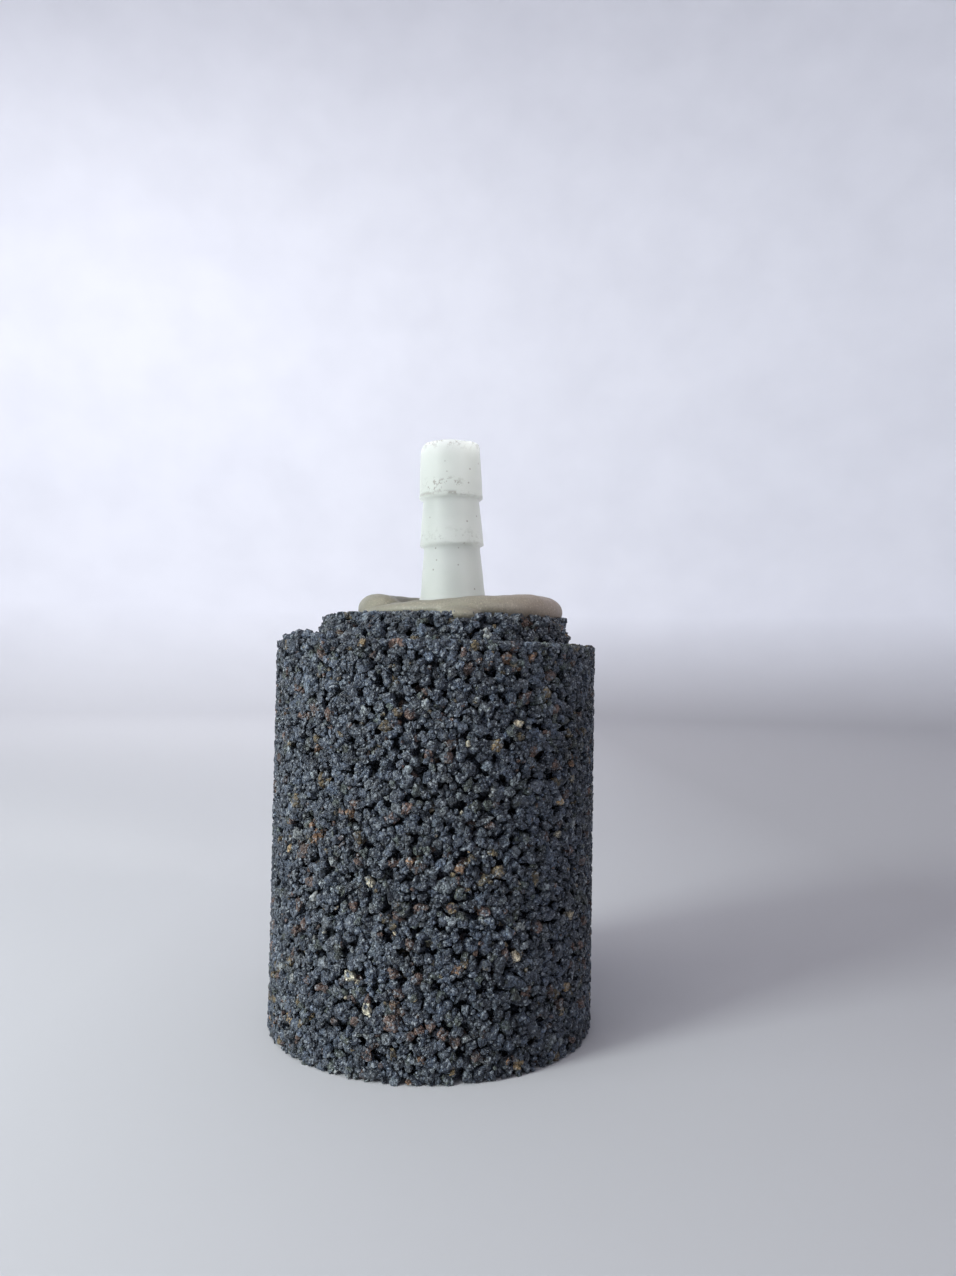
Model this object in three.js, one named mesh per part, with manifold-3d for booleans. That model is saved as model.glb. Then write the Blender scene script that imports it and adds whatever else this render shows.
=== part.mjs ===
// Cylindrical air stone: a bonded mineral body with a moulded boss, a plastic hose nipple for
// 4 mm airline, and the putty that seats the nipple in the stone.
// Millimetres, +Z up. The origin is the centre of the stone's flat base, and +Z is the stone's axis.
// The boss sits a little off that axis, and the nipple is set by hand, so it leans by two degrees.
import * as THREE from "three";
import { mergeVertices, toCreasedNormals } from "three/addons/utils/BufferGeometryUtils.js";
import Module from "manifold-3d";

const wasm = await Module();
wasm.setup();

// Stone
const STONE_RADIUS = 12.5;
const BODY_HEIGHT = 29.3;
const BODY_EDGE_RADIUS = 0.5; // crumbled corner of the moulded body
const BOSS_HEIGHT = 2.1;
const BOSS_BASE_RADIUS = 10.1;
const BOSS_TOP_RADIUS = 9.35;
const BOSS_EDGE_RADIUS = 0.4;
const BOSS_OFFSET = 0.55; // the boss's axis stands this far from the body's, towards +X
const STONE_TOP = BODY_HEIGHT + BOSS_HEIGHT;

// Blind bore, moulded round a tapered pin: the stem's socket above, the air chamber below
const BORE_MOUTH_RADIUS = 3.9;
const BORE_FLOOR_RADIUS = 3.4;
const BORE_FLOOR_HEIGHT = 7;

// Nipple, in its own frame: z is 0 where its axis meets the boss's top face
const NIPPLE_OFFSET = 1.25;
const NIPPLE_LEAN = THREE.MathUtils.degToRad(2);
const AIR_PASSAGE_RADIUS = 1.4;
const TIP_HEIGHT = 13.9;
const TIP_RADIUS = 2.36;
const TIP_ROUNDING = 0.3;
const BARB_RADIUS = 2.55;
const BARB_HEIGHTS = [5.8, 9.6]; // where each barb's sharp shoulder is
const BARB_UNDERCUT = 0.12; // height of the slope under a shoulder
const NECK_RADIUS = 2.23;
const ROOT_RADIUS = 2.45;
const ROOT_FLARE = 0.3; // how much wider the root is where it enters the putty
const ROOT_HEIGHT = 3.2;
const STEM_RADIUS = 2.3;
const STEM_LENGTH = 8.6;
const STEM_SHOULDER = 0.5; // length of the slope from the stem out to the root
const STEM_CHAMFER = 0.4;
const RIB_RADIUS = 2.55;
const RIB_COUNT = 3;
const RIB_PITCH = 2;
const RIB_WIDTH = 0.6;

// Putty: a flattened bead on the boss, with a plug that fills the bore's mouth round the stem
const BEAD_OFFSET = 1.65;
const BEAD_RADIUS = 8.3;
const BEAD_HEIGHT = 1.55;
const BEAD_CROWN = 0.2; // how much higher the bead stands at the nipple than at its rim
const BEAD_CROWN_RADIUS = 4.1;
const PLUG_RADIUS = 3.45;
const PLUG_LENGTH = 6.4;
const GLUE_LINE = 0.3; // the room left between two pieces that are stuck together

const STONE_SEGMENTS = 72;
const NIPPLE_SEGMENTS = 40;
const BEAD_SEGMENTS = 60;

const point = (radius, height) => new THREE.Vector2(radius, height);

// Points of an arc of the given size round (radius, height), between two angles in degrees.
function arc(radius, height, size, from, to, steps = 4) {
  return Array.from({ length: steps + 1 }, (_, i) => {
    const angle = THREE.MathUtils.degToRad(from + ((to - from) * i) / steps);
    return point(radius + size * Math.cos(angle), height + size * Math.sin(angle));
  });
}

// A profile of (radius, height) turned round +Z. The profile runs upwards along its outside.
function turned(profile, segments) {
  return new THREE.LatheGeometry(profile, segments).rotateX(Math.PI / 2);
}

function solidOf(geometry) {
  const bare = geometry.clone();
  bare.deleteAttribute("normal");
  bare.deleteAttribute("uv");
  const merged = mergeVertices(bare, 1e-4);
  const corners = [];
  for (let i = 0; i < merged.index.count; i += 3) {
    const [a, b, c] = [0, 1, 2].map((k) => merged.index.getX(i + k));
    if (a !== b && b !== c && c !== a) corners.push(a, b, c);
  }
  return new wasm.Manifold(
    new wasm.Mesh({
      numProp: 3,
      vertProperties: merged.attributes.position.array,
      triVerts: new Uint32Array(corners),
    }),
  );
}

function geometryOf(solid) {
  const { vertProperties, triVerts } = solid.getMesh();
  const geometry = new THREE.BufferGeometry();
  geometry.setAttribute("position", new THREE.BufferAttribute(vertProperties, 3));
  geometry.setIndex(new THREE.BufferAttribute(triVerts, 1));
  return toCreasedNormals(geometry, THREE.MathUtils.degToRad(25));
}

function named(name, geometry, material) {
  const mesh = new THREE.Mesh(geometry, material);
  mesh.name = name;
  return mesh;
}

// Where the nipple's own frame stands in the stone's.
const nippleFrame = new THREE.Matrix4()
  .makeTranslation(NIPPLE_OFFSET, 0, STONE_TOP)
  .multiply(new THREE.Matrix4().makeRotationY(-NIPPLE_LEAN));

function makeStone() {
  const edge = BODY_EDGE_RADIUS;
  const body = turned(
    [
      point(0, 0),
      ...arc(STONE_RADIUS - edge, edge, edge, -90, 0),
      ...arc(STONE_RADIUS - edge, BODY_HEIGHT - edge, edge, 0, 90),
      point(0, BODY_HEIGHT),
    ],
    STONE_SEGMENTS,
  );
  const boss = turned(
    [
      point(0, BODY_HEIGHT - 1),
      point(BOSS_BASE_RADIUS, BODY_HEIGHT - 1),
      point(BOSS_BASE_RADIUS, BODY_HEIGHT),
      ...arc(BOSS_TOP_RADIUS - BOSS_EDGE_RADIUS, STONE_TOP - BOSS_EDGE_RADIUS, BOSS_EDGE_RADIUS, 0, 90),
      point(0, STONE_TOP),
    ],
    STONE_SEGMENTS,
  ).translate(BOSS_OFFSET, 0, 0);
  const bore = turned(
    [
      point(0, BORE_FLOOR_HEIGHT),
      point(BORE_FLOOR_RADIUS, BORE_FLOOR_HEIGHT),
      point(BORE_MOUTH_RADIUS, STONE_TOP),
      point(BORE_MOUTH_RADIUS, STONE_TOP + 1),
      point(0, STONE_TOP + 1),
    ],
    STONE_SEGMENTS,
  ).translate(BOSS_OFFSET, 0, 0);
  return geometryOf(solidOf(body).add(solidOf(boss)).subtract(solidOf(bore)));
}

// The nipple's outside, from the end of its stem to its tip, all round `room` larger.
function nippleOutside(room = 0) {
  const profile = [
    point(STEM_RADIUS - STEM_CHAMFER + room, -STEM_LENGTH - room),
    point(STEM_RADIUS + room, -STEM_LENGTH + STEM_CHAMFER - room),
  ];
  for (let i = RIB_COUNT; i > 0; i--) {
    const low = -i * RIB_PITCH;
    profile.push(point(STEM_RADIUS + room, low - room));
    profile.push(point(RIB_RADIUS + room, low - room));
    profile.push(point(RIB_RADIUS + room, low + RIB_WIDTH + room));
    profile.push(point(STEM_RADIUS + room, low + RIB_WIDTH + room));
  }
  profile.push(
    point(STEM_RADIUS + room, -STEM_SHOULDER),
    point(ROOT_RADIUS + ROOT_FLARE + room, 0),
    point(ROOT_RADIUS + room, ROOT_HEIGHT),
  );
  for (const height of BARB_HEIGHTS) {
    profile.push(point(NECK_RADIUS + room, height - BARB_UNDERCUT));
    profile.push(point(BARB_RADIUS + room, height));
  }
  const tipCorner = TIP_RADIUS - TIP_ROUNDING + room;
  profile.push(...arc(tipCorner, TIP_HEIGHT - TIP_ROUNDING + room, TIP_ROUNDING, 0, 90));
  return profile;
}

function makeNipple() {
  return turned(
    [
      point(AIR_PASSAGE_RADIUS, -STEM_LENGTH),
      ...nippleOutside(),
      point(AIR_PASSAGE_RADIUS, TIP_HEIGHT),
      point(AIR_PASSAGE_RADIUS, -STEM_LENGTH),
    ],
    NIPPLE_SEGMENTS,
  );
}

function makePutty() {
  const bottom = STONE_TOP + GLUE_LINE;
  const top = STONE_TOP + BEAD_HEIGHT;
  const rim = (top - bottom) / 2;
  const bead = turned(
    [
      point(0, bottom),
      ...arc(BEAD_RADIUS - rim, bottom + rim, rim, -90, 90, 8),
      point(BEAD_CROWN_RADIUS, top + BEAD_CROWN),
      point(0, top + BEAD_CROWN),
    ],
    BEAD_SEGMENTS,
  ).translate(BEAD_OFFSET, 0, 0);
  const plug = turned(
    [
      point(0, STONE_TOP - PLUG_LENGTH),
      point(PLUG_RADIUS, STONE_TOP - PLUG_LENGTH),
      point(PLUG_RADIUS, bottom + rim),
      point(0, bottom + rim),
    ],
    BEAD_SEGMENTS,
  ).translate(BOSS_OFFSET, 0, 0);
  const throat = turned(
    [
      point(0, -STEM_LENGTH - GLUE_LINE),
      ...nippleOutside(GLUE_LINE),
      point(0, TIP_HEIGHT + GLUE_LINE),
    ],
    NIPPLE_SEGMENTS,
  ).applyMatrix4(nippleFrame);
  return geometryOf(solidOf(bead).add(solidOf(plug)).subtract(solidOf(throat)));
}

const bondedMineral = new THREE.MeshStandardMaterial({
  color: new THREE.Color(0.1, 0.11, 0.135),
  roughness: 0.8,
  metalness: 0,
});
const naturalPlastic = new THREE.MeshStandardMaterial({
  color: new THREE.Color(0.72, 0.74, 0.73),
  roughness: 0.35,
  metalness: 0,
});
const creamPutty = new THREE.MeshStandardMaterial({
  color: new THREE.Color(0.45, 0.42, 0.34),
  roughness: 0.6,
  metalness: 0,
});

const airStone = new THREE.Group();
airStone.add(named("stone_body", makeStone(), bondedMineral));
airStone.add(named("seating_putty", makePutty(), creamPutty));

const nippleSeat = new THREE.Group();
nippleSeat.applyMatrix4(nippleFrame);
nippleSeat.add(named("hose_nipple", makeNipple(), naturalPlastic));
airStone.add(nippleSeat);

export default airStone;
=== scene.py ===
"""The looks of a cylindrical air stone: bonded mineral grain, a hand-laid putty bead and a milky hose nipple.

Metres, in the part's own frame: the stone stands on z = 0 with its axis on +Z.
"""
import math
import random

import bmesh
import bpy
import numpy as np
from mathutils import Matrix, Vector, noise


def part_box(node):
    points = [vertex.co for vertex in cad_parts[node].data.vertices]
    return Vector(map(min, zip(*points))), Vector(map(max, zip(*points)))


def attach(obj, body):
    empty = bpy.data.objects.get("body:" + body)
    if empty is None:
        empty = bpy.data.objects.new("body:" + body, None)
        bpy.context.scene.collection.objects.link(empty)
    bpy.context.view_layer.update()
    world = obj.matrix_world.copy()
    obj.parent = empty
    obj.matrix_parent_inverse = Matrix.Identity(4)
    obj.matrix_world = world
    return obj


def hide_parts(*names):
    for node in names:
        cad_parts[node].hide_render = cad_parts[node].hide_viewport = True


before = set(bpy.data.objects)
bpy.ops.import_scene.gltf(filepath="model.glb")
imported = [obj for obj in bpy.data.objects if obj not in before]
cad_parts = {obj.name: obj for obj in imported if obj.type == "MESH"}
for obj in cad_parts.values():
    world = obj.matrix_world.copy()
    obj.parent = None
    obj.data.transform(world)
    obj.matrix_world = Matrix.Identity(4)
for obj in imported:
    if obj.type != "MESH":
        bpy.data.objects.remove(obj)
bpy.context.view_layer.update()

noise.seed_set(7)  # noise_vector is seeded by the clock otherwise

MM = 0.001

# The stone, as the frame has it
stone_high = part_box("stone_body")[1]
STONE_RADIUS = stone_high.x
STONE_TOP = stone_high.z
BOSS_HEIGHT = 2.1 * MM
BODY_HEIGHT = STONE_TOP - BOSS_HEIGHT
BOSS_OFFSET = 0.55 * MM
BOSS_BASE_RADIUS = 10.1 * MM
BOSS_TOP_RADIUS = 9.35 * MM
BORE_RADIUS = 3.9 * MM
BORE_FLOOR_RADIUS = 3.4 * MM
BORE_FLOOR = 7 * MM

# The putty bead
putty_low, putty_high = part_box("seating_putty")
BEAD_X = (putty_low.x + putty_high.x) / 2
BEAD_RADIUS = (putty_high.x - putty_low.x) / 2
PLUG_RADIUS = 3.45 * MM

# The nipple stands on the boss at NIPPLE_X and leans towards -X
nipple_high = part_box("hose_nipple")[1]
NIPPLE_X = 1.25 * MM
NIPPLE_LEAN = math.radians(2)
STEM_LENGTH = 8.6 * MM
BARB_HEIGHTS = (5.8, 9.6)


# ---------------------------------------------------------------- helpers


def new_piece(name, mesh, material, node, smooth=True):
    """A finished piece on the root body, standing for a CAD node."""
    piece = bpy.data.objects.new(name, mesh)
    bpy.context.scene.collection.objects.link(piece)
    mesh.materials.clear()
    mesh.materials.append(material)
    mesh.polygons.foreach_set("use_smooth", [smooth] * len(mesh.polygons))
    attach(piece, "root")
    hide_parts(node)
    return piece


def mesh_of(bm, name):
    mesh = bpy.data.meshes.new(name)
    bm.to_mesh(mesh)
    bm.free()
    return mesh


def in_fixed_order(bm):
    """The same mesh with its faces in a fixed order, since a spin gives them in a new one each run."""
    bm.verts.index_update()
    rings = []
    for face in bm.faces:
        ring = [vert.index for vert in face.verts]
        first = ring.index(min(ring))
        rings.append(ring[first:] + ring[:first])
    ordered = bmesh.new()
    verts = [ordered.verts.new(vert.co) for vert in bm.verts]
    for ring in sorted(rings):
        ordered.faces.new([verts[i] for i in ring])
    bm.free()
    return ordered


def spin_profile(profile, steps, closed=False):
    """A bmesh turned round +Z from (radius, height) pairs. A closed profile makes a ring."""
    bm = bmesh.new()
    verts = [bm.verts.new((radius, 0, height)) for radius, height in profile]
    edges = [bm.edges.new(pair) for pair in zip(verts, verts[1:])]
    if closed:
        edges.append(bm.edges.new((verts[-1], verts[0])))
    bmesh.ops.spin(
        bm,
        geom=verts + edges,
        axis=(0, 0, 1),
        cent=(0, 0, 0),
        angle=math.tau,
        steps=steps,
        use_merge=True,
        use_duplicate=False,
    )
    bmesh.ops.remove_doubles(bm, verts=bm.verts, dist=0.001 * MM)
    bm = in_fixed_order(bm)
    bmesh.ops.recalc_face_normals(bm, faces=bm.faces)
    return bm


def modified(mesh, *modifiers):
    """The mesh after the given modifiers: (type, {setting: value}) pairs."""
    carrier = bpy.data.objects.new("carrier", mesh)
    bpy.context.scene.collection.objects.link(carrier)
    for kind, settings in modifiers:
        modifier = carrier.modifiers.new(kind.lower(), kind)
        for key, value in settings.items():
            setattr(modifier, key, value)
    graph = bpy.context.evaluated_depsgraph_get()
    result = bpy.data.meshes.new_from_object(carrier.evaluated_get(graph))
    bpy.data.objects.remove(carrier)
    return result


# ---------------------------------------------------------------- materials


class Nodes:
    """A short way to write a material's nodes."""

    def __init__(self, name):
        self.material = bpy.data.materials.new(name)
        self.material.use_nodes = True
        self.tree = self.material.node_tree
        self.shader = self.tree.nodes["Principled BSDF"]
        self.coords = self.add("ShaderNodeTexCoord").outputs["Object"]

    def add(self, kind, **settings):
        node = self.tree.nodes.new(kind)
        for key, value in settings.items():
            setattr(node, key, value)
        return node

    def link(self, source, socket):
        self.tree.links.new(source, socket)

    def set(self, **values):
        for key, value in values.items():
            self.shader.inputs[key.replace("_", " ")].default_value = value

    def noise(self, size, detail=2.0, roughness=0.5):
        """Noise whose lumps are about `size` metres across."""
        node = self.add("ShaderNodeTexNoise")
        node.inputs["Scale"].default_value = 1 / size
        node.inputs["Detail"].default_value = detail
        node.inputs["Roughness"].default_value = roughness
        self.link(self.coords, node.inputs["Vector"])
        return node.outputs["Fac"]

    def cells(self, size):
        node = self.add("ShaderNodeTexVoronoi")
        node.inputs["Scale"].default_value = 1 / size
        self.link(self.coords, node.inputs["Vector"])
        return node

    def spread(self, value, low, high, to_low=0.0, to_high=1.0):
        node = self.add("ShaderNodeMapRange")
        self.link(value, node.inputs["Value"])
        for key, number in zip(
            ("From Min", "From Max", "To Min", "To Max"), (low, high, to_low, to_high)
        ):
            node.inputs[key].default_value = number
        return node.outputs["Result"]

    def math(self, operation, first, second=None):
        node = self.add("ShaderNodeMath", operation=operation)
        for socket, value in zip(node.inputs, (first, second)):
            if isinstance(value, (int, float)):
                socket.default_value = value
            elif value is not None:
                self.link(value, socket)
        return node.outputs["Value"]

    def mix(self, factor, first, second, blend="MIX"):
        """Mixes two colours. A colour is a socket or an RGB triple."""
        node = self.add("ShaderNodeMix", data_type="RGBA", blend_type=blend)
        if isinstance(factor, (int, float)):
            node.inputs["Factor"].default_value = factor
        else:
            self.link(factor, node.inputs["Factor"])
        for key, value in ((6, first), (7, second)):
            if isinstance(value, tuple):
                node.inputs[key].default_value = (*value, 1)
            else:
                self.link(value, node.inputs[key])
        return node.outputs[2]

    def bump(self, height, distance, strength=1.0, after=None):
        node = self.add("ShaderNodeBump")
        node.inputs["Distance"].default_value = distance
        node.inputs["Strength"].default_value = strength
        self.link(height, node.inputs["Height"])
        if after is not None:
            self.link(after, node.inputs["Normal"])
        return node.outputs["Normal"]

    def place(self):
        """The X, Y and Z of a point on the piece."""
        node = self.add("ShaderNodeSeparateXYZ")
        self.link(self.coords, node.inputs["Vector"])
        return node.outputs


def grain_material():
    """Crushed mineral grain. Each grain brings its own colour, broken up by small crystals, a few of which
    get a painted glint.
    """
    m = Nodes("mineral_grain")
    own = m.add("ShaderNodeAttribute", attribute_name="grain_colour").outputs["Color"]
    stain = m.spread(m.noise(0.4 * MM, detail=2.0, roughness=0.6), 0.34, 0.52)
    colour = m.mix(stain, (0.052, 0.063, 0.082), own)
    crystals = m.cells(0.15 * MM)
    tone = m.add("ShaderNodeSeparateColor")
    m.link(crystals.outputs["Color"], tone.inputs["Color"])
    shade = m.spread(tone.outputs["Red"], 0.0, 1.0, 0.45, 1.55)
    fine = m.noise(0.11 * MM, detail=2.0, roughness=0.7)
    shade = m.math("MULTIPLY", shade, m.spread(fine, 0.32, 0.7, 0.42, 1.62))
    shade = m.math("MULTIPLY", shade, m.spread(m.noise(2.6 * MM, detail=2.0), 0.3, 0.7, 0.66, 1.34))
    grey = m.add("ShaderNodeCombineColor")
    for socket in grey.inputs:
        m.link(shade, socket)
    colour = m.mix(1.0, colour, grey.outputs["Color"], "MULTIPLY")
    # Painted glint: a few crystal cells get a pale grey base colour, standing in for sparkles of light on the
    # facets.
    painted_glint = m.spread(tone.outputs["Green"], 0.90, 0.93, 0.0, 0.6)
    colour = m.mix(painted_glint, colour, (0.30, 0.33, 0.36))
    m.link(colour, m.shader.inputs["Base Color"])
    m.link(m.spread(tone.outputs["Blue"], 0.0, 1.0, 0.22, 0.70), m.shader.inputs["Roughness"])
    facets = m.bump(m.math("MULTIPLY", crystals.outputs["Distance"], -1.0), 0.10 * MM, 0.8)
    m.link(m.bump(fine, 0.05 * MM, 0.8, after=facets), m.shader.inputs["Normal"])
    return m.material


def core_material():
    """The depth under the grains, coloured darker than the grain: painted shade in the pores."""
    m = Nodes("pore_depth")
    lumps = m.noise(0.5 * MM, detail=3.0, roughness=0.6)
    # Painted shade: the depth is darker than the grains, for the shade deep in the pores.
    colour = m.mix(m.spread(lumps, 0.35, 0.7), (0.020, 0.025, 0.033), (0.045, 0.055, 0.070))
    m.link(colour, m.shader.inputs["Base Color"])
    m.set(Roughness=0.8)
    m.link(m.bump(lumps, 0.2 * MM), m.shader.inputs["Normal"])
    return m.material


def putty_material():
    """Cream epoxy putty: satin, faintly mottled, with fine dark and pale specks, and a painted pinkish tint
    of light on its +X side.
    """
    m = Nodes("cream_putty")
    clouds = m.noise(2.2 * MM, detail=3.0, roughness=0.6)
    colour = m.mix(m.spread(clouds, 0.35, 0.65), (0.194, 0.181, 0.139), (0.225, 0.212, 0.168))
    # Painted light: the +X side is tinted pinker, for the pinkish light that falls on that side.
    right = m.spread(m.place()["X"], 2.0 * MM, 9.0 * MM)
    colour = m.mix(m.math("MULTIPLY", right, 0.55), colour, (0.270, 0.190, 0.158))
    fine = m.noise(0.14 * MM, detail=2.0, roughness=0.7)
    colour = m.mix(m.spread(fine, 0.58, 0.75, 0.0, 0.65), colour, (0.10, 0.08, 0.06))
    colour = m.mix(m.spread(fine, 0.42, 0.3, 0.0, 0.55), colour, (0.45, 0.41, 0.32))
    m.link(colour, m.shader.inputs["Base Color"])
    m.link(m.spread(clouds, 0.3, 0.7, 0.42, 0.6), m.shader.inputs["Roughness"])
    m.set(Subsurface_Weight=0.12, Subsurface_Radius=(0.6 * MM, 0.45 * MM, 0.3 * MM))
    m.shader.inputs["Subsurface Scale"].default_value = 1.0
    first = m.bump(m.noise(0.9 * MM, detail=3.0), 0.12 * MM, 0.5)
    m.link(m.bump(fine, 0.02 * MM, 0.6, after=first), m.shader.inputs["Normal"])
    return m.material


def nipple_material():
    """Natural polypropylene: milky, a little translucent, scuffed at the barbs and the tip."""
    m = Nodes("milky_plastic")
    clouds = m.noise(3.0 * MM, detail=2.0)
    colour = m.mix(m.spread(clouds, 0.3, 0.7), (0.430, 0.452, 0.418), (0.470, 0.492, 0.458))
    place = m.place()
    height = place["Z"]

    def near(value, middle, reach, clear=0.0):
        """1 within `clear` of the middle, fading to 0 a reach away."""
        away = m.math("ABSOLUTE", m.math("SUBTRACT", value, middle))
        return m.spread(away, reach, clear)

    scuffs = m.spread(m.noise(0.45 * MM, detail=3.0, roughness=0.75), 0.53, 0.60)
    front = near(place["X"], NIPPLE_X - 1.0 * MM, 2.0 * MM, 0.9 * MM)
    patch = m.math("MULTIPLY", near(height, STONE_TOP + 10.25 * MM, 0.75 * MM, 0.3 * MM), front)
    patch = m.math("MULTIPLY", patch, scuffs)
    dashes = m.spread(m.noise(0.6 * MM, detail=2.0, roughness=0.7), 0.46, 0.54)
    edge = m.math("MULTIPLY", near(height, STONE_TOP + 9.66 * MM, 0.22 * MM, 0.05 * MM), dashes)
    edge = m.math("MULTIPLY", edge, near(place["X"], NIPPLE_X - 1.0 * MM, 3.0 * MM, 1.5 * MM))
    second = m.math("MULTIPLY", near(height, STONE_TOP + 6.3 * MM, 0.9 * MM), scuffs)
    tip = m.math("MULTIPLY", m.spread(height, nipple_high.z - 0.9 * MM, nipple_high.z - 0.2 * MM), scuffs)
    marks = m.math("MAXIMUM", patch, m.math("MULTIPLY", edge, 0.7))
    marks = m.math("MAXIMUM", marks, m.math("MULTIPLY", second, 0.35))
    marks = m.math("MAXIMUM", marks, tip)
    specks = m.cells(0.95 * MM).outputs["Distance"]
    marks = m.math("MAXIMUM", marks, m.spread(specks, 0.10, 0.06, 0.0, 0.8))
    marks = m.math("MINIMUM", m.math("MULTIPLY", marks, 0.8), 0.75)
    colour = m.mix(marks, colour, (0.16, 0.14, 0.12))
    m.link(colour, m.shader.inputs["Base Color"])
    m.link(m.spread(clouds, 0.3, 0.7, 0.40, 0.52), m.shader.inputs["Roughness"])
    m.set(Specular_IOR_Level=0.20, Subsurface_Weight=1.0, Subsurface_Radius=(9 * MM, 9 * MM, 8.5 * MM))
    m.shader.inputs["Subsurface Scale"].default_value = 1.0
    ripple = m.bump(m.noise(1.3 * MM, detail=2.0), 0.06 * MM, 0.5)
    fine = m.bump(m.noise(0.2 * MM, detail=2.0), 0.012 * MM, 0.5, after=ripple)
    m.link(fine, m.shader.inputs["Normal"])
    return m.material


# ---------------------------------------------------------------- the stone

# Grain colours by share: (share, colour, how far its brightness strays)
MINERALS = (
    (0.530, (0.047, 0.0575, 0.0775), 0.42),
    (0.165, (0.0295, 0.0362, 0.0508), 0.40),
    (0.125, (0.0795, 0.092, 0.108), 0.38),
    (0.075, (0.0518, 0.0613, 0.0558), 0.40),
    (0.020, (0.190, 0.205, 0.210), 0.30),
    (0.055, (0.086, 0.054, 0.044), 0.30),
    (0.020, (0.100, 0.075, 0.041), 0.30),
    (0.008, (0.145, 0.082, 0.047), 0.30),
    (0.005, (0.250, 0.185, 0.105), 0.25),
    (0.004, (0.400, 0.360, 0.270), 0.20),
)


def grain_shape(rng, points, dent=0.0):
    """One angular grain about a unit in radius: its vertices, its triangles and their bake map."""
    bm = bmesh.new()
    spots = []
    for _ in range(points):
        tries = [Vector([rng.gauss(0, 1) for _ in range(3)]).normalized() for _ in range(8)]
        best = max(tries, key=lambda t: min([(t - s).length for s in spots], default=0))
        spots.append(best)
        bm.verts.new(best * rng.uniform(0.64, 1.18))
    hull = bmesh.ops.convex_hull(bm, input=bm.verts)
    spare = {g for g in hull["geom_interior"] + hull["geom_unused"] if isinstance(g, bmesh.types.BMVert)}
    bmesh.ops.delete(bm, geom=list(spare), context="VERTS")
    bmesh.ops.triangulate(bm, faces=bm.faces)
    bmesh.ops.recalc_face_normals(bm, faces=bm.faces)
    if dent:
        broad = sorted(bm.faces, key=lambda f: -f.calc_area())[: len(bm.faces) // 3]
        normals = [f.normal.copy() for f in broad]
        poked = bmesh.ops.poke(bm, faces=broad)["verts"]
        for vert, normal in zip(poked, normals):
            vert.co += normal * rng.uniform(-1.0, 0.6) * dent
    bm.verts.index_update()
    corners = np.array([[v.index for v in face.verts] for face in bm.faces])
    verts = np.array([v.co for v in bm.verts])
    maps = np.zeros((len(corners), 3, 2))
    for i, face in enumerate(bm.faces):
        upper = face.calc_center_median().z > 0
        for k, v in enumerate(face.verts):
            direction = v.co.normalized()
            turn = math.acos(max(-1, min(1, direction.z if upper else -direction.z)))
            reach = 0.46 * min(1, turn / 2.2)
            around = math.atan2(direction.y, direction.x)
            centre = 0.5 if upper else 1.5
            maps[i, k] = (centre + reach * math.cos(around), 0.5 + reach * math.sin(around))
    bm.free()
    return verts, corners, maps


def body_reach(p, room):
    """Moves a point so that it is at least `room` inside the cylinder."""
    flat = math.hypot(p[0], p[1])
    limit = STONE_RADIUS - room
    if flat > limit:
        p[0] *= limit / flat
        p[1] *= limit / flat
    p[2] = min(max(p[2], room), BODY_HEIGHT - room)


def boss_radius(height):
    share = min(max((height - BODY_HEIGHT) / BOSS_HEIGHT, 0), 1)
    return BOSS_BASE_RADIUS + (BOSS_TOP_RADIUS - BOSS_BASE_RADIUS) * share


def boss_reach(p, room):
    p[2] = min(p[2], STONE_TOP - room)
    x = p[0] - BOSS_OFFSET
    flat = math.hypot(x, p[1])
    limit = boss_radius(p[2]) - room
    if flat > limit:
        p[0] = BOSS_OFFSET + x * limit / flat
        p[1] *= limit / flat


def surface_place(rng):
    """A random point on the stone's outside, evenly by area, with its inward direction and zone."""
    areas = (
        ("side", math.tau * STONE_RADIUS * BODY_HEIGHT),
        ("base", math.pi * STONE_RADIUS**2),
        ("rim", math.pi * STONE_RADIUS**2),
        ("boss_side", math.tau * BOSS_BASE_RADIUS * BOSS_HEIGHT * 1.2),
        ("boss_top", math.pi * BOSS_TOP_RADIUS**2),
    )
    while True:
        pick = rng.uniform(0, sum(area for _, area in areas))
        for zone, area in areas:
            pick -= area
            if pick < 0:
                break
        around = rng.uniform(0, math.tau)
        c, s = math.cos(around), math.sin(around)
        if zone == "side":
            return zone, [STONE_RADIUS * c, STONE_RADIUS * s, rng.uniform(0, BODY_HEIGHT)], (-c, -s, 0)
        if zone == "base":
            r = STONE_RADIUS * math.sqrt(rng.random())
            return zone, [r * c, r * s, 0], (0, 0, 1)
        if zone == "rim":
            r = STONE_RADIUS * math.sqrt(rng.random())
            if math.hypot(r * c - BOSS_OFFSET, r * s) > BOSS_BASE_RADIUS - 0.3 * MM:
                return zone, [r * c, r * s, BODY_HEIGHT], (0, 0, -1)
            continue
        if zone == "boss_side":
            z = rng.uniform(BODY_HEIGHT - 0.2 * MM, STONE_TOP)
            r = boss_radius(z)
            return zone, [BOSS_OFFSET + r * c, r * s, z], (-c, -s, 0)
        r = BOSS_TOP_RADIUS * math.sqrt(rng.random())
        x = BOSS_OFFSET + r * c
        if math.hypot(x - BEAD_X, r * s) > BEAD_RADIUS - 1.6 * MM:
            return zone, [x, r * s, STONE_TOP], (0, 0, -1)


CELL = 1.15 * MM
PORE_SPACING = 1.22 * MM
PORE_DEPTH = 1.0 * MM
MOULD_SOFTNESS = 0.22
CREST_COUNT = 58
SIDE_PIECES = 6


def neighbours(taken, p):
    """What lies in the cells round a point."""
    i, j, k = (int(math.floor(c / CELL)) for c in p)
    for x in (i - 1, i, i + 1):
        for y in (j - 1, j, j + 1):
            for z in (k - 1, k, k + 1):
                yield from taken.get((x, y, z), ())


def keep(taken, p, *more):
    key = tuple(int(math.floor(c / CELL)) for c in p)
    taken.setdefault(key, []).append((*p, *more))


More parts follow.
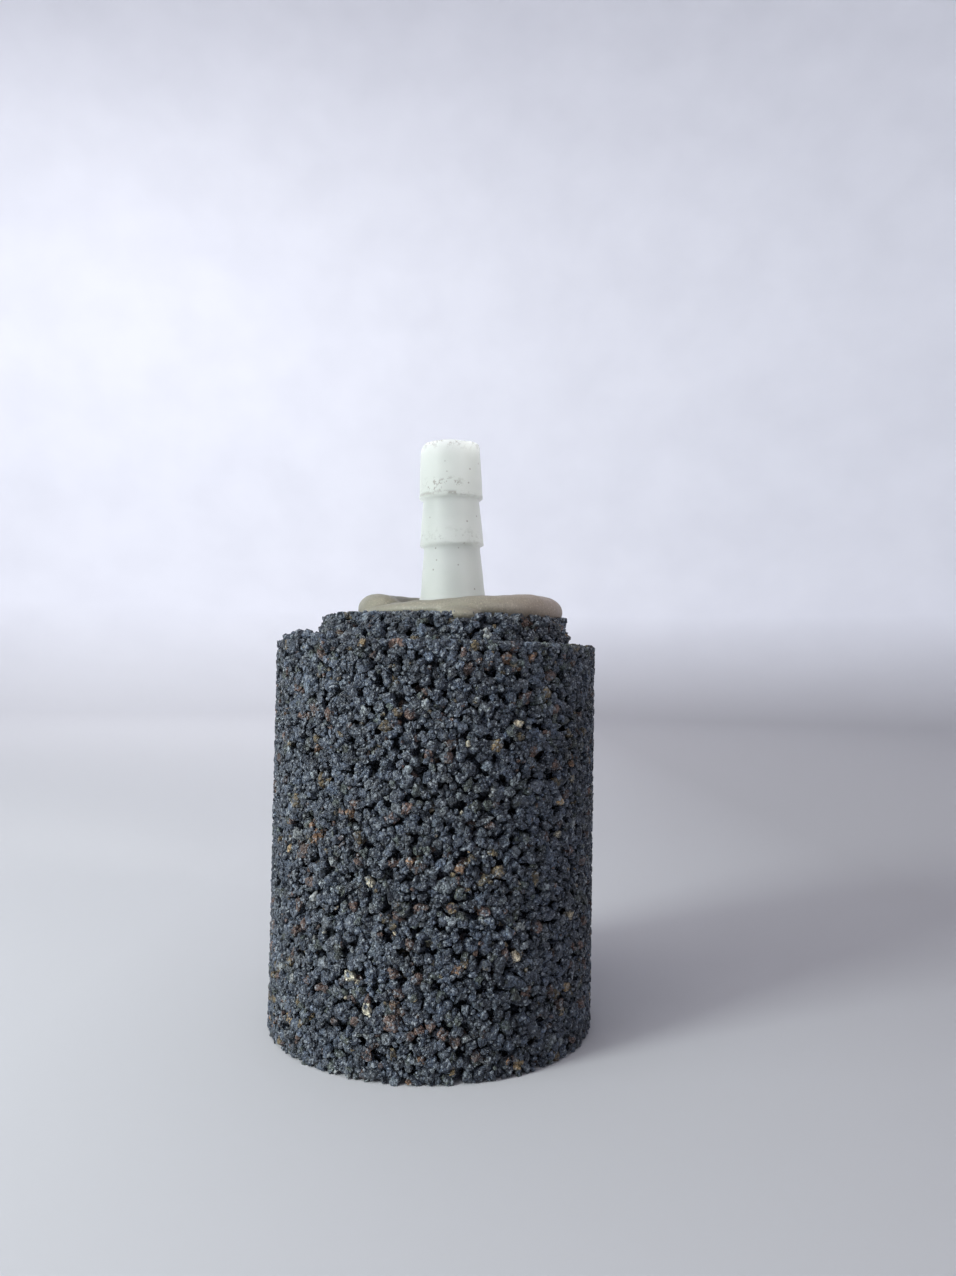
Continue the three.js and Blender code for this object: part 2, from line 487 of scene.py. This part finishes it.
def open_pores(rng, tries):
    """Places on the outside where the grains leave a hole, by cell: (x, y, z, radius, inward)."""
    pores = {}
    for _ in range(tries):
        zone, p, inward = surface_place(rng)
        if zone == "side" and not 0.9 * MM < p[2] < BODY_HEIGHT - 0.5 * MM:
            continue
        radius = rng.uniform(0.05, 0.28) * MM
        if all(math.dist(p, q[:3]) > PORE_SPACING for q in neighbours(pores, p)):
            keep(pores, p, radius, inward)
    return pores


def in_pore(pores, p, radius):
    for x, y, z, width, inward in neighbours(pores, p):
        away = (p[0] - x, p[1] - y, p[2] - z)
        along = away[0] * inward[0] + away[1] * inward[1] + away[2] * inward[2]
        if along > PORE_DEPTH + radius:
            continue
        across = away[0] ** 2 + away[1] ** 2 + away[2] ** 2 - along**2
        if across < (width + 0.74 * radius) ** 2:
            return True
    return False


def pack_grains(rng, taken, pores, tries, radii, depth, squeeze, painted_depth_shade=1.0, warm=1.0):
    """Drops grains against the stone's outside wherever one fits: (x, y, z, radius, zone, colour)."""
    kept = []
    for _ in range(tries):
        radius = rng.uniform(*radii)
        zone, p, inward = surface_place(rng)
        sink = rng.uniform(*depth)
        for k in range(3):
            p[k] += inward[k] * sink
        room = radius * 0.80
        if zone.startswith("boss"):
            boss_reach(p, room)
        else:
            body_reach(p, room)
        if pores and in_pore(pores, p, radius):
            continue
        x, y, z = p
        for qx, qy, qz, q in neighbours(taken, p):
            gap = (radius + q) * squeeze
            if (x - qx) ** 2 + (y - qy) ** 2 + (z - qz) ** 2 < gap * gap:
                break
        else:
            keep(taken, p, radius)
            # Deeper layers pass a factor below 1: painted shade for grains set deep between the outer ones.
            kept.append((x, y, z, radius, zone, [c * painted_depth_shade for c in grain_colour(rng, warm)]))
    return kept


def nubs_on(rng, grains, count, radii):
    """Smaller lumps and crystals that stand out of larger grains, on the side that shows."""
    kept = []
    while len(kept) < count:
        x, y, z, radius, zone, colour = grains[rng.randrange(len(grains))]
        if zone == "base" and rng.random() < 0.6:
            continue
        way = Vector([rng.gauss(0, 1) for _ in range(3)]).normalized()
        out = Vector((x, y, 0 if zone == "side" else z - 12 * MM)).normalized()
        if way.dot(out) > 0:
            spot = Vector((x, y, z)) + way * radius * rng.uniform(0.66, 0.84)
            light = rng.uniform(0.7, 1.4)
            own = grain_colour(rng) if rng.random() < 0.2 else [c * light for c in colour]
            kept.append((*spot, rng.uniform(*radii), zone, own))
    return kept


def crest_grains(rng):
    """Grains that stand up along the rim, on the side away from the boss."""
    kept = []
    for i in range(CREST_COUNT):
        around = math.radians(118 + 124 * (i + rng.uniform(-0.3, 0.3)) / CREST_COUNT)
        reach = rng.uniform(10.9, 12.0) * MM
        radius = rng.uniform(0.34, 0.48) * MM
        height = BODY_HEIGHT + rng.uniform(0.0, 0.36) * MM
        spot = (reach * math.cos(around), reach * math.sin(around), height)
        kept.append((*spot, radius, "crest", grain_colour(rng)))
    # Loose grain caught against the bead's end
    for x, y, z in ((9.95, -1.6, 31.45), (9.75, -2.4, 31.3), (9.8, -0.9, 31.35)):
        kept.append((x * MM, y * MM, z * MM, 0.35 * MM, "crest", grain_colour(rng)))
    return kept


def press_to_mould(points, zone):
    """Flattens what pokes through the mould's wall, as moulding does."""
    flat = np.hypot(points[..., 0], points[..., 1])
    over = np.maximum(flat - STONE_RADIUS, 0)
    scale = (flat - over * (1 - MOULD_SOFTNESS)) / np.maximum(flat, 1e-9)
    points[..., 0] *= scale
    points[..., 1] *= scale
    under = np.minimum(points[..., 2], 0)
    points[..., 2] -= under
    top = BODY_HEIGHT if zone in ("side", "base", "rim") else STONE_TOP
    over = np.maximum(points[..., 2] - top, 0)
    points[..., 2] -= over * (1 - MOULD_SOFTNESS)
    return points


def turn_matrix(rng):
    """A random rotation."""
    w, x, y, z = (rng.gauss(0, 1) for _ in range(4))
    size = math.sqrt(w * w + x * x + y * y + z * z)
    w, x, y, z = w / size, x / size, y / size, z / size
    return (
        (1 - 2 * (y * y + z * z), 2 * (x * y - z * w), 2 * (x * z + y * w)),
        (2 * (x * y + z * w), 1 - 2 * (x * x + z * z), 2 * (y * z - x * w)),
        (2 * (x * z - y * w), 2 * (y * z + x * w), 1 - 2 * (x * x + y * y)),
    )


def grain_colour(rng, warm=1.0):
    """A mineral drawn by share; `warm` raises the shares of the brown, rust and cream ones."""
    shares = [share * (warm if colour[0] > 1.2 * colour[2] else 1) for share, colour, _ in MINERALS]
    pick = rng.random() * sum(shares)
    for share, (_, colour, stray) in zip(shares, MINERALS):
        pick -= share
        if pick < 0:
            break
    light = 1 + rng.uniform(-stray, stray)
    tilt = rng.uniform(-0.06, 0.06)
    return [colour[0] * light * (1 + tilt), colour[1] * light, colour[2] * light * (1 - tilt)]


def grain_mesh(name, grains, shapes, rng):
    """One mesh of many separate closed grains, each with its own colour and its own bake cell."""
    points, corners, maps, colours = [], [], [], []
    start = 0
    columns = math.ceil(math.sqrt(2 * len(grains)) / 2) * 2
    for index, (x, y, z, radius, zone, colour) in enumerate(grains):
        family = next(shapes[size] for size in shapes if radius > size)
        verts, tris, cell_map = family[rng.randrange(len(family))]
        stretch = np.array([rng.uniform(0.85, 1.4), rng.uniform(0.75, 1.15), rng.uniform(0.65, 1.05)])
        turned = (verts * stretch * radius) @ np.array(turn_matrix(rng)).T + (x, y, z)
        points.append(press_to_mould(turned, zone))
        corners.append(tris + start)
        start += len(verts)
        column, row = (2 * index) % columns, (2 * index) // columns
        maps.append((cell_map + (column, row)) / columns)
        colours.append(np.tile((*colour, 1), (len(verts), 1)))
    corners = np.concatenate(corners)
    mesh = bpy.data.meshes.new(name)
    mesh.vertices.add(start)
    mesh.vertices.foreach_set("co", np.concatenate(points).astype(np.float32).ravel())
    mesh.loops.add(corners.size)
    mesh.loops.foreach_set("vertex_index", corners.astype(np.int32).ravel())
    mesh.polygons.add(len(corners))
    mesh.polygons.foreach_set("loop_start", np.arange(0, corners.size, 3, dtype=np.int32))
    mesh.update(calc_edges=True)
    colour = mesh.attributes.new("grain_colour", "FLOAT_COLOR", "POINT")
    colour.data.foreach_set("color", np.concatenate(colours).astype(np.float32).ravel())
    layer = mesh.uv_layers.new(name="OFBake")
    layer.data.foreach_set("uv", np.concatenate(maps).astype(np.float32).ravel())
    return mesh


def make_stone():
    rng = random.Random(31)
    # By radius: the shapes a grain larger than that is made from
    shapes = {
        0.33 * MM: [grain_shape(rng, 18, dent=0.18) for _ in range(30)],
        0.15 * MM: [grain_shape(rng, 11) for _ in range(24)],
        0: [grain_shape(rng, 8) for _ in range(16)],
    }
    pores = open_pores(rng, 12000)
    taken = {}
    grains = pack_grains(rng, taken, pores, 3000, (0.55 * MM, 0.72 * MM), (0, 0.08 * MM), 0.80, warm=2.6)
    grains += pack_grains(rng, taken, pores, 14000, (0.40 * MM, 0.52 * MM), (0, 0.16 * MM), 0.70)
    grains += pack_grains(rng, taken, pores, 40000, (0.335 * MM, 0.42 * MM), (0, 0.20 * MM), 0.62)
    grit = pack_grains(rng, taken, pores, 40000, (0.20 * MM, 0.28 * MM), (0.02 * MM, 0.40 * MM), 0.66)
    # The two deeper layers are painted darker: painted shade deep between the outer grains.
    grains += pack_grains(
        rng, {}, pores, 26000, (0.38 * MM, 0.48 * MM), (0.50 * MM, 0.70 * MM), 0.66, painted_depth_shade=0.9
    )
    deep = pack_grains(rng, {}, None, 20000, (0.42 * MM, 0.52 * MM), (1.1 * MM, 1.35 * MM), 0.72, painted_depth_shade=0.85)
    nubs = grit + nubs_on(rng, grains, 22000, (0.16 * MM, 0.27 * MM))
    crystals = nubs_on(rng, grains + nubs, 19000, (0.08 * MM, 0.14 * MM))
    batches = {"crest": crest_grains(rng)}
    for grain in grains + deep + nubs + crystals:
        sector = int((math.atan2(grain[1], grain[0]) + math.pi) / math.tau * SIDE_PIECES) % SIDE_PIECES
        key = {"side": f"side_{sector + 1}", "base": "base", "rim": "rim"}.get(grain[4], "boss")
        batches.setdefault(key, []).append(grain)
    material = grain_material()
    for key in sorted(batches):
        mesh = grain_mesh("grain_" + key, batches[key], shapes, rng)
        new_piece("stone_grain_" + key, mesh, material, "stone_body", smooth=False)
    make_core()


def make_core():
    """The stone's solid depth under the outer grains, with the blind bore in it."""
    sink = 1.4 * MM
    radius = STONE_RADIUS - sink
    boss = BOSS_TOP_RADIUS - sink
    shoulder = BODY_HEIGHT - sink
    profile = [
        (0, sink),
        (radius, sink),
        (radius, shoulder),
        (boss, shoulder),
        (boss, STONE_TOP - sink * 0.6),
        (BORE_RADIUS, STONE_TOP - sink * 0.6),
        (BORE_FLOOR_RADIUS, BORE_FLOOR),
        (0, BORE_FLOOR),
    ]
    bm = spin_profile(profile, 64)
    for _ in range(3):
        long_edges = [e for e in bm.edges if e.calc_length() > 1.2 * MM]
        bmesh.ops.subdivide_edges(bm, edges=long_edges, cuts=1, use_grid_fill=True)
    bmesh.ops.triangulate(bm, faces=bm.faces)
    for vert in bm.verts:
        clear_of_bore = math.hypot(vert.co.x, vert.co.y) > BORE_RADIUS + 0.2 * MM
        if clear_of_bore or vert.co.z < BORE_FLOOR - 1 * MM:
            vert.co += noise.noise_vector(vert.co / (0.8 * MM)) * 0.18 * MM
    bmesh.ops.recalc_face_normals(bm, faces=bm.faces)
    new_piece("stone_core", mesh_of(bm, "core"), core_material(), "stone_body")


# ---------------------------------------------------------------- the putty


def dab(bm, centre, size, turn=0.0):
    """An ellipsoid dab of putty: half-sizes along, across and up, turned about +Z."""
    place = Matrix.Translation(centre) @ Matrix.Rotation(turn, 4, "Z") @ Matrix.Diagonal((*size, 1))
    bmesh.ops.create_icosphere(bm, subdivisions=3, radius=1, matrix=place)


def make_putty():
    """A rope of putty laid once round the nipple, its thin end lapping the front of its thick one."""
    rng = random.Random(5)
    bm = bmesh.new()
    seat = STONE_TOP - 0.15 * MM

    def roll(start, end, steps, reach, width, height):
        """Dabs along an arc, in degrees. reach, width and height are (share along) -> metres."""
        for i in range(steps + 1):
            share = i / steps
            around = math.radians(start + (end - start) * share)
            out = reach(share)
            tall = height(share) * (1 + rng.uniform(-0.03, 0.03))
            wide = width(share)
            centre = (
                BEAD_X + out * math.cos(around),
                out * math.sin(around),
                seat + tall * 0.55,
            )
            dab(bm, centre, (wide, 1.3 * wide, tall), around)

    def ease(share, low, high):
        return low + (high - low) * math.sin(math.pi / 2 * min(max(share, 0), 1))

    # The middle of the bead, up to the nipple
    roll(
        0,
        350,
        44,
        lambda s: 3.9 * MM,
        lambda s: 2.2 * MM,
        lambda s: (0.72 + 0.24 * math.cos(math.tau * s - 0.3)) * MM,
    )
    # The thick end: from the front, round the right and the back, to a rounded end at the left
    roll(
        -95,
        196,
        80,
        lambda s: (6.75 - 0.55 * max(0, s - 0.85) / 0.15) * MM,
        lambda s: (1.55 + 0.1 * math.sin(9 * s)) * MM,
        lambda s: (ease(s / 0.28, 0.78, 1.18) + 0.24 * math.sin(math.pi * max(0, 2 * s - 1))) * MM,
    )
    # The thin end: from the front to a point at the left, lapping the other's end
    roll(
        -90,
        -160,
        30,
        lambda s: (6.75 + 0.45 * s) * MM,
        lambda s: (1.5 - 0.85 * s) * MM,
        lambda s: (0.80 - 0.38 * s) * MM,
    )
    # Where it ran down over the boss's edge
    dab(bm, (1.9 * MM, -8.35 * MM, STONE_TOP - 0.22 * MM), (1.55 * MM, 1.15 * MM, 0.56 * MM))
    # The plug in the bore's mouth
    bmesh.ops.create_cone(
        bm,
        cap_ends=True,
        segments=48,
        radius1=PLUG_RADIUS,
        radius2=PLUG_RADIUS,
        depth=6.6 * MM,
        matrix=Matrix.Translation((BOSS_OFFSET, 0, STONE_TOP - 3.1 * MM)),
    )
    mesh = modified(
        mesh_of(bm, "dabs"),
        ("REMESH", {"mode": "VOXEL", "voxel_size": 0.16 * MM, "use_smooth_shade": True}),
        ("SMOOTH", {"factor": 0.5, "iterations": 14}),
    )
    # The nipple's throat
    throat = spin_profile(
        [(0, -STEM_LENGTH), (2.2 * MM, -STEM_LENGTH), (2.2 * MM, 4 * MM), (0, 4 * MM)],
        48,
    )
    bmesh.ops.transform(throat, matrix=nipple_frame(), verts=throat.verts)
    cutter = bpy.data.objects.new("throat", mesh_of(throat, "throat"))
    bpy.context.scene.collection.objects.link(cutter)
    mesh = modified(
        mesh,
        ("BOOLEAN", {"operation": "DIFFERENCE", "solver": "EXACT", "object": cutter}),
    )
    bpy.data.objects.remove(cutter)
    bm = bmesh.new()
    bm.from_mesh(mesh)
    for vert in bm.verts:
        if vert.co.z > STONE_TOP - 0.5 * MM:
            vert.co.z += noise.noise(vert.co / (1.6 * MM)) * 0.07 * MM
    new_piece("putty_bead", mesh_of(bm, "putty"), putty_material(), "seating_putty")


# ---------------------------------------------------------------- the nipple


def nipple_frame():
    return Matrix.Translation((NIPPLE_X, 0, STONE_TOP)) @ Matrix.Rotation(-NIPPLE_LEAN, 4, "Y")


def make_nipple():
    """The moulded hose nipple, with softened barbs and a worn, chipped tip."""
    neck, barb = 2.23, 2.55
    outside = [(2.05, -8.6), (2.3, -8.35), (2.3, -0.9), (2.42, -0.5), (2.75, 0), (2.76, 0.9), (2.72, 1.4)]
    outside += [(2.58, 1.8), (2.50, 2.4), (2.45, 3.2), (2.34, 4.4), (2.26, 5.2)]
    for shoulder in BARB_HEIGHTS:
        outside += [
            (neck + 0.005, shoulder - 0.30),
            (neck + 0.03, shoulder - 0.16),
            (barb - 0.05, shoulder - 0.06),
            (barb - 0.005, shoulder),
            (barb, shoulder + 0.07),
            (barb - 0.03, shoulder + 0.3),
        ]
        if shoulder < 9:
            outside += [(2.42, 7.4), (2.31, 8.5), (2.26, 9.1)]
    outside += [(2.49, 11.0), (2.43, 12.3), (2.38, 13.2), (2.37, 13.66)]
    outside += [(2.34, 13.80), (2.27, 13.87), (2.16, 13.89)]
    inside = [(1.75, 13.9), (1.52, 13.88), (1.42, 13.8), (1.4, 13.6), (1.4, 9.0)]
    inside += [(1.4, 2.0), (1.4, -4.0), (1.42, -8.5), (1.6, -8.6)]
    profile = [(r * MM, z * MM) for r, z in outside + inside]
    bm = spin_profile(profile, 96, closed=True)
    for vert in bm.verts:
        around = math.atan2(vert.co.y, vert.co.x)
        reach = math.hypot(vert.co.x, vert.co.y)
        worn = min(max((vert.co.z - 13.3 * MM) / (0.5 * MM), 0), 1)
        if worn > 0 and reach > 1.5 * MM:
            left = max(0.0, math.cos(around - math.radians(186))) ** 14
            chips = noise.noise(Vector((math.cos(around), math.sin(around), 0.3)) * 5.5)
            grit = noise.noise(vert.co / (0.35 * MM))
            vert.co.z -= worn * (0.20 * left + max(0, chips) * 0.12 + abs(grit) * 0.07) * MM
            pull = 1 - worn * (0.025 * left + 0.015 * max(0, grit))
            vert.co.x *= pull
            vert.co.y *= pull
        for shoulder in [height * MM for height in BARB_HEIGHTS]:
            near = max(0, 1 - abs(vert.co.z - shoulder) / (0.35 * MM))
            if near > 0 and reach > 2.2 * MM:
                wobble = noise.noise(Vector((math.cos(around) * 3, math.sin(around) * 3, shoulder / MM)))
                vert.co.z += near * wobble * 0.13 * MM
                vert.co.x *= 1 + near * wobble * 0.012
                vert.co.y *= 1 + near * wobble * 0.012
    bmesh.ops.transform(bm, matrix=nipple_frame(), verts=bm.verts)
    bmesh.ops.recalc_face_normals(bm, faces=bm.faces)
    new_piece("barbed_nipple", mesh_of(bm, "nipple"), nipple_material(), "hose_nipple")


# ---------------------------------------------------------------- the stage


def make_stage():
    """A pale floor that curves up into a round backdrop. The floor is painted darker than the backdrop and
    darker still towards +X: painted shade.
    """
    floor, curve, height = 0.48, 0.18, 0.75
    profile = [(0, 0), (floor * 0.25, 0), (floor * 0.6, 0), (floor, 0)]
    for i in range(1, 13):
        turn = math.radians(90 * i / 12)
        profile.append((floor + curve * math.sin(turn), curve * (1 - math.cos(turn))))
    profile.append((floor + curve, height))
    bm = spin_profile(profile, 96)
    for face in bm.faces:
        faces_out = abs(face.normal.z) < 0.5 and face.normal.dot(face.calc_center_median()) > 0
        if face.normal.z < -0.01 or faces_out:
            face.normal_flip()
    m = Nodes("studio_paper")
    paper = m.noise(40 * MM, detail=2.0)
    colour = m.mix(m.spread(paper, 0.3, 0.7), (0.78, 0.79, 0.85), (0.82, 0.83, 0.89))
    place = m.place()
    # Painted shade: the floor is darker than the backdrop where the key light falls on it, and darker again
    # towards +X.
    painted_floor_shade = m.mix(m.spread(place["X"], -0.03, 0.06), (0.64, 0.645, 0.67), (0.42, 0.415, 0.435))
    colour = m.mix(m.spread(place["Z"], 0.0, 0.07), painted_floor_shade, colour)
    m.link(colour, m.shader.inputs["Base Color"])
    m.set(Roughness=0.9)
    stage = bpy.data.objects.new("studio", mesh_of(bm, "studio"))
    bpy.context.scene.collection.objects.link(stage)
    stage.data.materials.append(m.material)
    stage.data.polygons.foreach_set("use_smooth", [True] * len(stage.data.polygons))


def area_light(name, place, aim, size, power, colour, spread=math.pi):
    light = bpy.data.lights.new(name, "AREA")
    light.shape = "RECTANGLE"
    light.size, light.size_y = size
    light.energy = power
    light.spread = spread
    light.color = colour
    lamp = bpy.data.objects.new(name, light)
    lamp.visible_camera = False
    lamp.location = place
    lamp.rotation_euler = (Vector(aim) - Vector(place)).to_track_quat("-Z", "Y").to_euler()
    bpy.context.scene.collection.objects.link(lamp)


def make_lights():
    aim = (0, 0, 0.02)
    area_light("key", (-0.27, -0.19, 0.13), aim, (0.09, 0.12), 1.04, (0.92, 1.0, 0.97))
    area_light("left_fill", (-0.38, -0.22, 0.22), (0, 0.03, 0.03), (0.4, 0.3), 0.9, (0.95, 1.0, 0.99))
    area_light("top", (-0.06, -0.12, 0.34), aim, (0.2, 0.2), 0.24, (1.0, 0.965, 0.965))
    narrow = math.radians(25)
    area_light(
        "bounce", (0.055, -0.045, 0.07), (0.001, 0, 0.041), (0.02, 0.02), 0.0012, (1.0, 0.985, 0.97), narrow
    )
    area_light("wash", (-0.20, 0.24, 0.34), (0.05, 0.66, 0.20), (0.3, 0.2), 1.10, (0.985, 0.985, 1.0))
    world = bpy.data.worlds.new("soft_room")
    bpy.context.scene.world = world
    world.use_nodes = True
    world.node_tree.nodes["Background"].inputs["Color"].default_value = (0.93, 0.90, 1.0, 1)
    world.node_tree.nodes["Background"].inputs["Strength"].default_value = 0.35
    bpy.context.scene.view_settings.view_transform = "Standard"


def make_camera():
    """A close camera on the stone's front, level with its upper body and looking slightly up."""
    camera = bpy.data.cameras.new("camera")
    camera.sensor_width = 36
    camera.lens = 25.96
    camera.clip_start = 0.005
    camera.clip_end = 5
    view = bpy.data.objects.new("camera", camera)
    pitch, roll = math.radians(2.06), math.radians(0.96)
    level = Matrix.Rotation(math.radians(90) + pitch, 4, "X")
    place = Matrix.Translation((3.26 * MM, -73.5 * MM, 27.2 * MM))
    view.matrix_world = place @ level @ Matrix.Rotation(roll, 4, "Z")
    bpy.context.scene.collection.objects.link(view)
    bpy.context.scene.camera = view


make_stage()
make_lights()
make_camera()
make_stone()
make_putty()
make_nipple()
